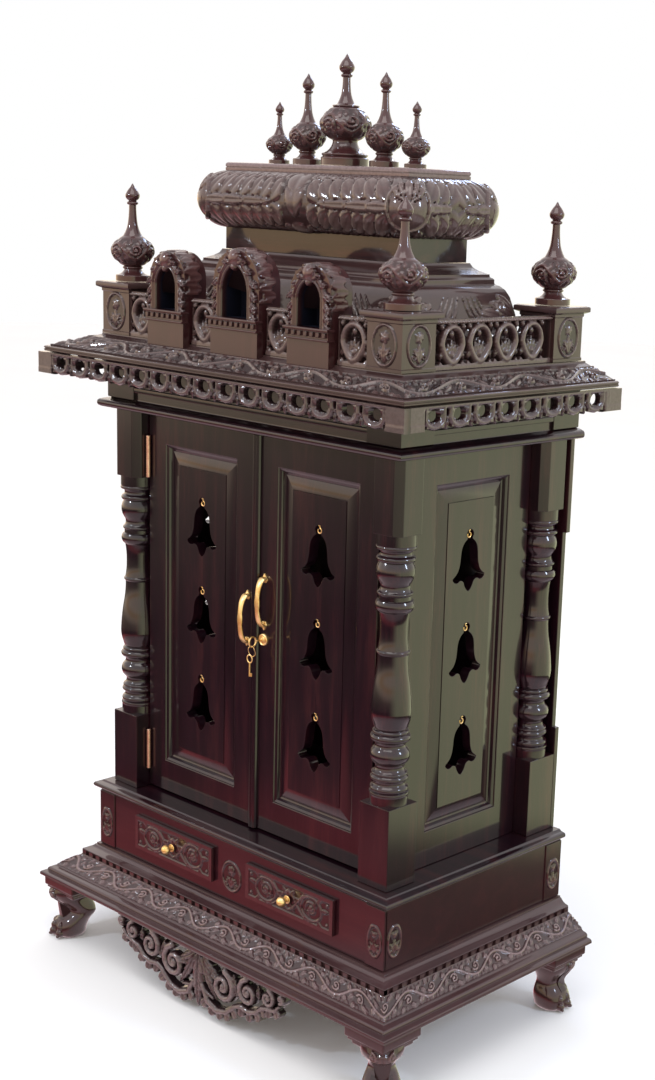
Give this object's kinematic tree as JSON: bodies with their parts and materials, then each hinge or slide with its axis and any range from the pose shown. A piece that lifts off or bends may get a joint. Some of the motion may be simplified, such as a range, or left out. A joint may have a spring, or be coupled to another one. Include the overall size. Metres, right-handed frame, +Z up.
{
  "type": "household shrine cabinet",
  "caption": "Free-standing carved rosewood household shrine on claw feet: hinged doors with bell piercings, drawers below, pierced eaves valance, niched parapet and a cushion dome with finials.",
  "frame": {"origin": "centre of the bounding box's base, on the floor", "axes": "+X to the viewer's right when facing the doors; the doors face -Y; +Z up"},
  "size_m": [0.91, 0.528, 1.6243],
  "materials": {
    "rosewood_carved": "carved and pierced rosewood, stained dark red-brown, lacquered",
    "rosewood_plain": "plain and turned rosewood, stained dark red-brown, glossy lacquer",
    "brass": "polished yellow brass"
  },
  "bodies": {
    "cabinet": {"apron": "rosewood_carved", "back_board": "rosewood_plain", "dome_base": "rosewood_carved", "dome_cushion": "rosewood_carved", "dome_neck": "rosewood_plain", "dome_slab": "rosewood_plain", "drawer_case": "rosewood_plain", "finial_back_left": "rosewood_carved", "finial_back_right": "rosewood_carved", "finial_front_left": "rosewood_carved", "finial_front_right": "rosewood_carved", "finial_top_1": "rosewood_carved", "finial_top_2": "rosewood_carved", "finial_top_3": "rosewood_carved", "finial_top_4": "rosewood_carved", "finial_top_5": "rosewood_carved", "foot_back_left": "rosewood_carved", "foot_back_right": "rosewood_carved", "foot_front_left": "rosewood_carved", "foot_front_right": "rosewood_carved", "frieze": "rosewood_plain", "gallery_front_1": "rosewood_carved", "gallery_front_2": "rosewood_carved", "gallery_front_3": "rosewood_carved", "gallery_front_4": "rosewood_carved", "gallery_left": "rosewood_carved", "gallery_right": "rosewood_carved", "hinge_left_lower": "brass", "hinge_left_upper": "brass", "hinge_right_lower": "brass", "hinge_right_upper": "brass", "ledge_board": "rosewood_plain", "niche_left": "rosewood_carved", "niche_middle": "rosewood_carved", "niche_right": "rosewood_carved", "pedestal_back_left": "rosewood_carved", "pedestal_back_right": "rosewood_carved", "pedestal_front_left": "rosewood_carved", "pedestal_front_right": "rosewood_carved", "plinth": "rosewood_carved", "post_back_left": "rosewood_plain", "post_back_right": "rosewood_plain", "post_front_left": "rosewood_plain", "post_front_right": "rosewood_plain", "roof_board": "rosewood_carved", "side_panel_left": "rosewood_plain", "side_panel_right": "rosewood_plain", "valance_front": "rosewood_carved", "valance_left": "rosewood_carved", "valance_right": "rosewood_carved"},
    "door_left": {"door_left": "rosewood_plain", "handle_left": "brass"},
    "door_right": {"door_right": "rosewood_plain", "handle_right": "brass", "lock_rose": "brass", "key": "brass"},
    "drawer_left": {"drawer_left": "rosewood_carved", "knob_left": "brass"},
    "drawer_right": {"drawer_right": "rosewood_carved", "knob_right": "brass"}
  },
  "joints": [
    {"name": "door_left_hinge", "type": "hinge", "parent": "cabinet", "child": "door_left", "pos_m": [-0.2842, -0.14, 0.6575], "axis": [0, 0, -1], "range_deg": [0, 110]},
    {"name": "door_right_hinge", "type": "hinge", "parent": "cabinet", "child": "door_right", "pos_m": [0.2842, -0.14, 0.6575], "axis": [0, 0, 1], "range_deg": [0, 110]},
    {"name": "drawer_left_slide", "type": "slide", "parent": "cabinet", "child": "drawer_left", "axis": [0, -1, 0], "range_m": [0, 0.2]},
    {"name": "drawer_right_slide", "type": "slide", "parent": "cabinet", "child": "drawer_right", "axis": [0, -1, 0], "range_m": [0, 0.2]}
  ]
}
